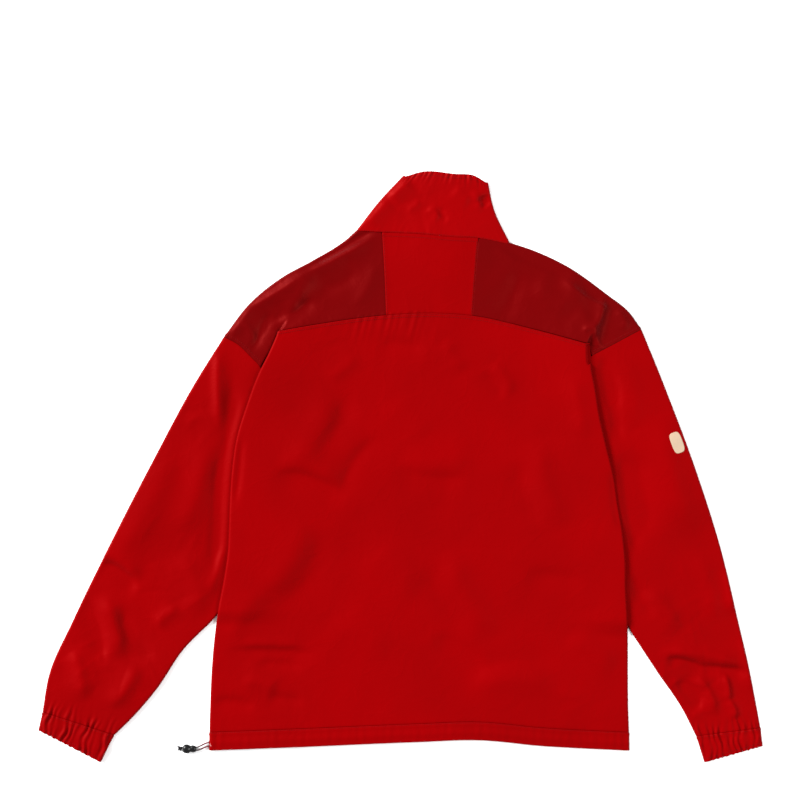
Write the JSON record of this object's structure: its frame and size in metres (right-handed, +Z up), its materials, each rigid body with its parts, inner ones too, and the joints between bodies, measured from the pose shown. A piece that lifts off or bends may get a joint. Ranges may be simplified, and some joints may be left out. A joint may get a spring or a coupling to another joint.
{
  "type": "anorak pullover laid flat",
  "caption": "Hip-length anorak pullover laid flat with its back up: stand collar, contrast shoulder yokes, elastic cuffs and a hem drawcord with a stopper.",
  "frame": {"origin": "centre of the bounding box's base, on the surface that the garment lies on", "axes": "+X across the garment from cuff to cuff, +Y from the hem to the collar, +Z up, out of the back"},
  "size_m": [0.9786, 0.7979, 0.013],
  "materials": {
    "red_shell": "tight satin-matt woven polyamide shell, bright red",
    "dark_shell": "tight satin woven polyamide shell, dark red",
    "zip_tape": "woven tape, dark red",
    "zip_metal": "black lacquer",
    "cord": "braided elastic cord, burgundy to dark grey",
    "toggle": "moulded, semi-gloss black"
  },
  "bodies": {
    "garment": {"front": "red_shell", "back": "red_shell", "back_yoke": "red_shell", "collar": "red_shell", "hem": "red_shell", "shoulder_left": "dark_shell", "shoulder_right": "dark_shell", "sleeve_left": "red_shell", "sleeve_right": "red_shell", "cuff_left": "red_shell", "cuff_right": "red_shell", "zip_tape_left": "zip_tape", "zip_tape_right": "zip_tape", "zip_slider": "zip_metal", "hem_cord_upper": "cord", "hem_cord_lower": "cord", "cord_toggle": "toggle", "cord_knot": "cord"},
    "pull": {"zip_pull": "zip_metal"}
  },
  "joints": [
    {"name": "zip_pull_hinge", "type": "hinge", "parent": "garment", "child": "pull", "pos_m": [0.05078, 0.289, 0.0028], "axis": [1, 0, 0], "range_deg": [0, 175]}
  ]
}
